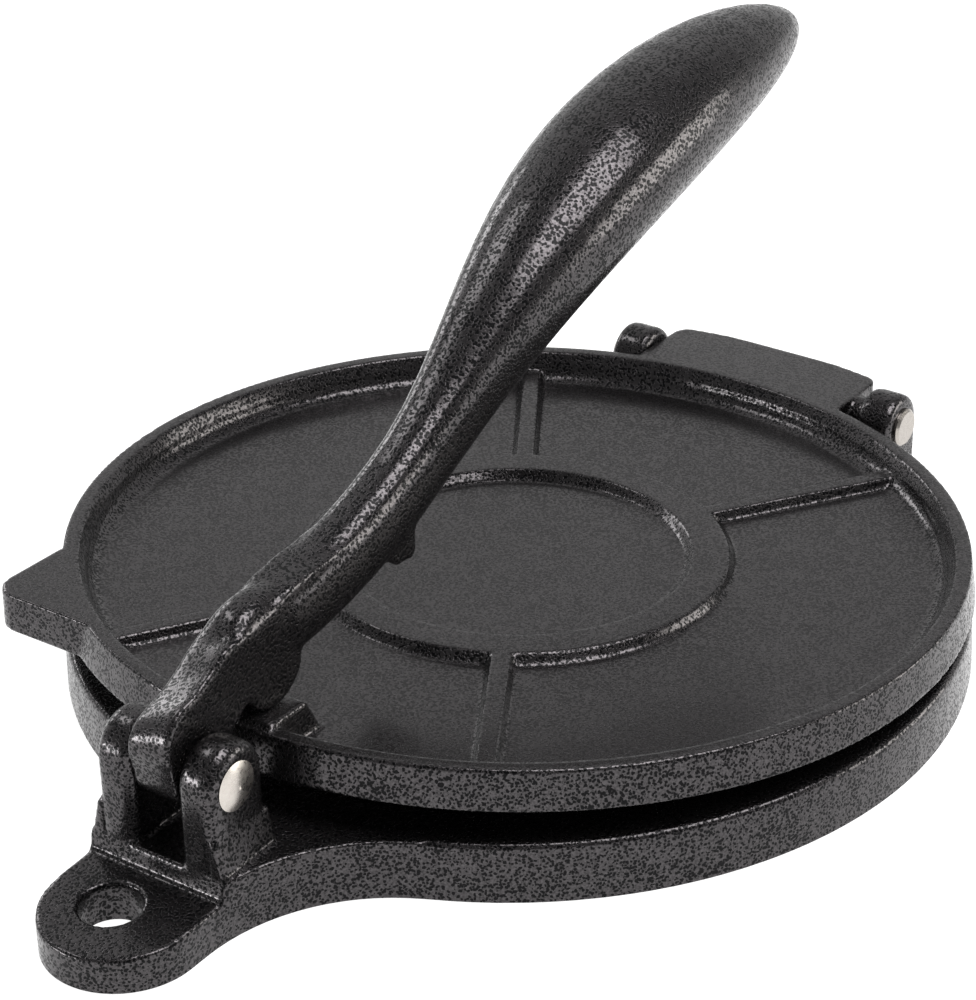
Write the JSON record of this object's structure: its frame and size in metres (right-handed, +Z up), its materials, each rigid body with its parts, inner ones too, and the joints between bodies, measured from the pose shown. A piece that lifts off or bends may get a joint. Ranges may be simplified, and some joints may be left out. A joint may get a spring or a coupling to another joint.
{
  "type": "tortilla press",
  "caption": "Round cast-iron press: a hinged upper plate is pushed down on a round base by a hand lever with a cam, and the base has a tongue with a hanging hole.",
  "frame": {"origin": "centre of the base disc, on the surface that the press stands on", "axes": "+Z up, -Y toward the lever pivot and the tongue, +Y toward the hinge, +X to the right seen from the tongue"},
  "size_m": [0.21, 0.2813, 0.125],
  "materials": {
    "cast_body": "dark grey and black speckled hammered paint on cast iron, satin gloss",
    "cast_lever": "dark grey and black coarsely speckled hammered paint on cast iron, satin gloss",
    "pin_steel": "bright plated steel"
  },
  "bodies": {
    "base": {"base": "cast_body"},
    "lever_pin": {"lever_pin": "pin_steel"},
    "lever": {"lever": "cast_lever"},
    "hinge_pin": {"hinge_pin": "pin_steel"},
    "upper_plate": {"upper_plate": "cast_body"}
  },
  "joints": [
    {"name": "lever_press", "type": "hinge", "parent": "base", "child": "lever_pin", "pos_m": [0, -0.1203, 0.0317], "axis": [1, 0, 0], "range_deg": [-17.6, 0]},
    {"name": "lever_throw", "type": "hinge", "parent": "lever_pin", "child": "lever", "pos_m": [0, -0.1203, 0.0317], "axis": [1, 0, 0], "range_deg": [0, 160]},
    {"name": "plate_close", "type": "hinge", "parent": "base", "child": "hinge_pin", "pos_m": [0, 0.1089, 0.0183], "axis": [-1, 0, 0], "range_deg": [-2.35, 0]},
    {"name": "plate_open", "type": "hinge", "parent": "hinge_pin", "child": "upper_plate", "pos_m": [0, 0.1089, 0.0183], "axis": [-1, 0, 0], "range_deg": [0, 100]}
  ],
  "couplings": [
    {"joint": "plate_close", "follows": "lever_press", "ratio": 0.133},
    {"joint": "plate_open", "follows": "lever_throw", "ratio": 0.1}
  ]
}
